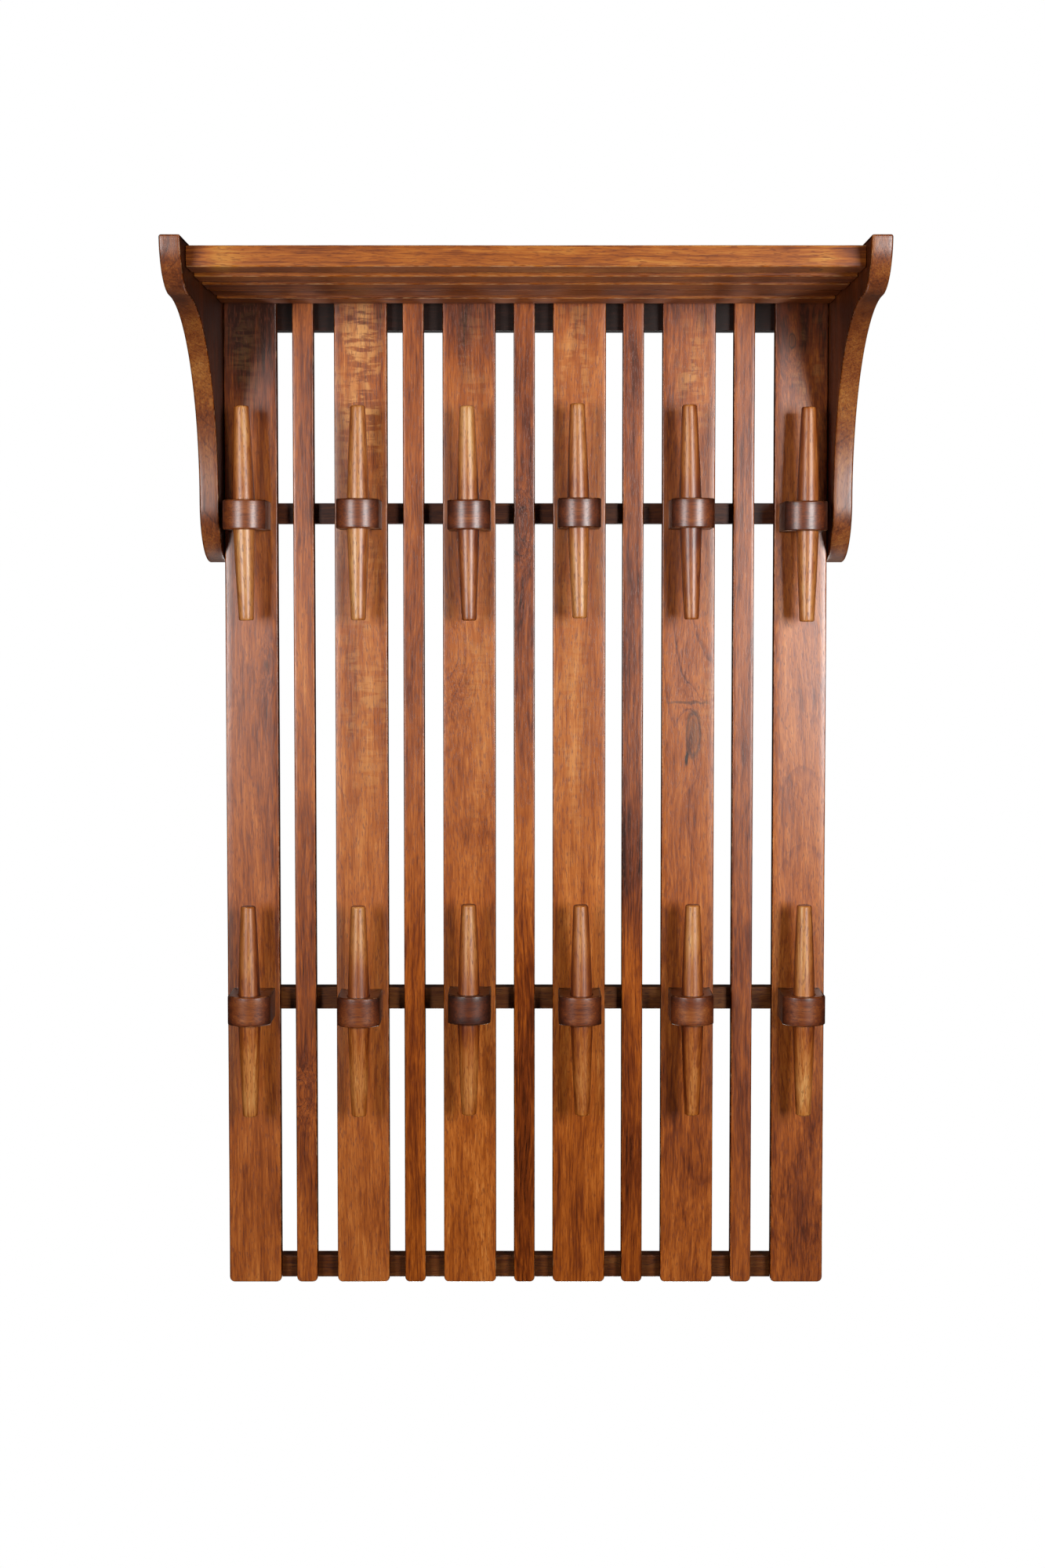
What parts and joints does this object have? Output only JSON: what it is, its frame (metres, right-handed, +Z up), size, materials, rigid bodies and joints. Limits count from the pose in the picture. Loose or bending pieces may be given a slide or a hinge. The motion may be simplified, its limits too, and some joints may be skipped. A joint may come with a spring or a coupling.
{
  "type": "wall coat rack with shelf",
  "caption": "Wall-hung slatted hardwood coat rack: vertical slats on rear rails, two rows of double-tapered pegs in D-shaped blocks, and a barred shelf between S-curved side brackets.",
  "frame": {"origin": "on the wall plane, midway between the screw entries of the two keyhole hanger plates", "axes": "+X to the right along the shelf, +Y into the wall, +Z up; the front of the rack faces -Y"},
  "size_m": [0.606, 0.244, 0.9555],
  "materials": {
    "slat_wood": "dark reddish brown stained hardwood, satin lacquer",
    "rail_wood": "dark brown stained hardwood, satin lacquer",
    "bracket_wood": "dark brown stained hardwood, satin lacquer",
    "shelf_wood": "orange brown stained hardwood, satin lacquer",
    "block_wood": "dark red brown stained hardwood, satin lacquer",
    "peg_wood": "golden brown stained turned hardwood, satin lacquer",
    "dowel_wood": "plain unstained beech",
    "zinc_steel": "bright zinc plate"
  },
  "bodies": {
    "root": {"wide_slat_1": "slat_wood", "wide_slat_2": "slat_wood", "wide_slat_3": "slat_wood", "wide_slat_4": "slat_wood", "wide_slat_5": "slat_wood", "wide_slat_6": "slat_wood", "narrow_slat_1": "slat_wood", "narrow_slat_2": "slat_wood", "narrow_slat_3": "slat_wood", "narrow_slat_4": "slat_wood", "narrow_slat_5": "slat_wood", "top_rail": "rail_wood", "upper_hook_rail": "rail_wood", "lower_hook_rail": "rail_wood", "bottom_rail": "rail_wood", "side_bracket_left": "bracket_wood", "side_bracket_right": "bracket_wood", "shelf_bar_1": "shelf_wood", "shelf_bar_2": "shelf_wood", "shelf_bar_3": "shelf_wood", "shelf_bar_4": "shelf_wood", "shelf_bar_5": "shelf_wood", "upper_hook_block_1": "block_wood", "upper_peg_1": "peg_wood", "upper_hook_block_2": "block_wood", "upper_peg_2": "peg_wood", "upper_hook_block_3": "block_wood", "upper_peg_3": "peg_wood", "upper_hook_block_4": "block_wood", "upper_peg_4": "peg_wood", "upper_hook_block_5": "block_wood", "upper_peg_5": "peg_wood", "upper_hook_block_6": "block_wood", "upper_peg_6": "peg_wood", "lower_hook_block_1": "block_wood", "lower_peg_1": "peg_wood", "lower_hook_block_2": "block_wood", "lower_peg_2": "peg_wood", "lower_hook_block_3": "block_wood", "lower_peg_3": "peg_wood", "lower_hook_block_4": "block_wood", "lower_peg_4": "peg_wood", "lower_hook_block_5": "block_wood", "lower_peg_5": "peg_wood", "lower_hook_block_6": "block_wood", "lower_peg_6": "peg_wood", "shelf_dowels": "dowel_wood", "rail_dowels": "dowel_wood", "slat_screws": "zinc_steel", "block_screws": "zinc_steel", "hanger_screws": "zinc_steel", "hanger_plate_left": "zinc_steel", "hanger_plate_right": "zinc_steel"}
  },
  "joints": []
}
